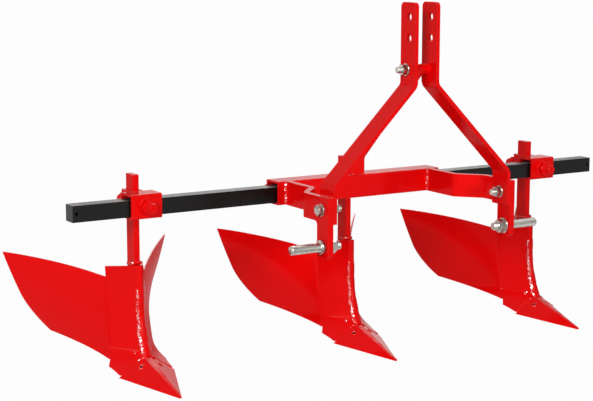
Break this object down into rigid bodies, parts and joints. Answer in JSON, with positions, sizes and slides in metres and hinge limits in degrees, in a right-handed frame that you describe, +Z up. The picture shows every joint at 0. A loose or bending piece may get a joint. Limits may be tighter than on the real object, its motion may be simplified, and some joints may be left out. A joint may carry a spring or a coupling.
{
  "type": "ridger",
  "caption": "Three-row ridger with twin-wing bodies on a sliding toolbar, for a small three-point linkage.",
  "frame": {"origin": "on the floor, under the middle of the box around the parked machine", "axes": "+X along the toolbar, to the right of someone who stands ahead of the hitch and looks at it; +Y to the rear, away from the tractor; +Z up, with the machine leaning back onto its shares and wings"},
  "size_m": [1.6854, 0.6228, 0.934],
  "materials": {
    "red_paint": "gloss",
    "black_paint": "satin",
    "zinc": "satin"
  },
  "bodies": {
    "hitch_frame": {"centre_sleeve": "red_paint", "centre_pocket": "red_paint", "centre_pocket_bolt": "red_paint", "left_sleeve_bolt": "red_paint", "right_sleeve_bolt": "red_paint", "left_arm": "red_paint", "right_arm": "red_paint", "left_mast_bar": "red_paint", "right_mast_bar": "red_paint", "left_link_pin": "zinc", "right_link_pin": "zinc", "left_pin_nut": "zinc", "right_pin_nut": "zinc", "left_foot_bolt": "zinc", "right_foot_bolt": "zinc", "mast_spacer": "red_paint", "mast_bolt": "zinc", "rear_strut": "red_paint"},
    "toolbar": {"toolbar": "black_paint", "left_end_cap": "black_paint", "right_end_cap": "black_paint"},
    "left_clamp": {"left_clamp": "red_paint", "left_pocket": "red_paint", "left_clamp_bolt": "red_paint", "left_pocket_bolt": "red_paint"},
    "right_clamp": {"right_clamp": "red_paint", "right_pocket": "red_paint", "right_clamp_bolt": "red_paint", "right_pocket_bolt": "red_paint"},
    "left_body": {"left_leg": "red_paint", "left_frog": "red_paint", "left_share": "red_paint", "left_inner_wing": "red_paint", "left_outer_wing": "red_paint"},
    "centre_body": {"centre_leg": "red_paint", "centre_frog": "red_paint", "centre_share": "red_paint", "centre_left_wing": "red_paint", "centre_right_wing": "red_paint"},
    "right_body": {"right_leg": "red_paint", "right_frog": "red_paint", "right_share": "red_paint", "right_inner_wing": "red_paint", "right_outer_wing": "red_paint"}
  },
  "joints": [
    {"name": "toolbar_slide", "type": "slide", "parent": "hitch_frame", "child": "toolbar", "axis": [1, 0, 0], "range_m": [-0.04, 0.04]},
    {"name": "left_clamp_slide", "type": "slide", "parent": "toolbar", "child": "left_clamp", "axis": [1, 0, 0], "range_m": [-0.13, 0.1]},
    {"name": "right_clamp_slide", "type": "slide", "parent": "toolbar", "child": "right_clamp", "axis": [1, 0, 0], "range_m": [-0.1, 0.13]},
    {"name": "left_leg_slide", "type": "slide", "parent": "left_clamp", "child": "left_body", "axis": [0, 0.2054, 0.9787], "range_m": [-0.03, 0.1]},
    {"name": "centre_leg_slide", "type": "slide", "parent": "hitch_frame", "child": "centre_body", "axis": [0, 0.2054, 0.9787], "range_m": [-0.03, 0.1]},
    {"name": "right_leg_slide", "type": "slide", "parent": "right_clamp", "child": "right_body", "axis": [0, 0.2054, 0.9787], "range_m": [-0.03, 0.1]}
  ]
}
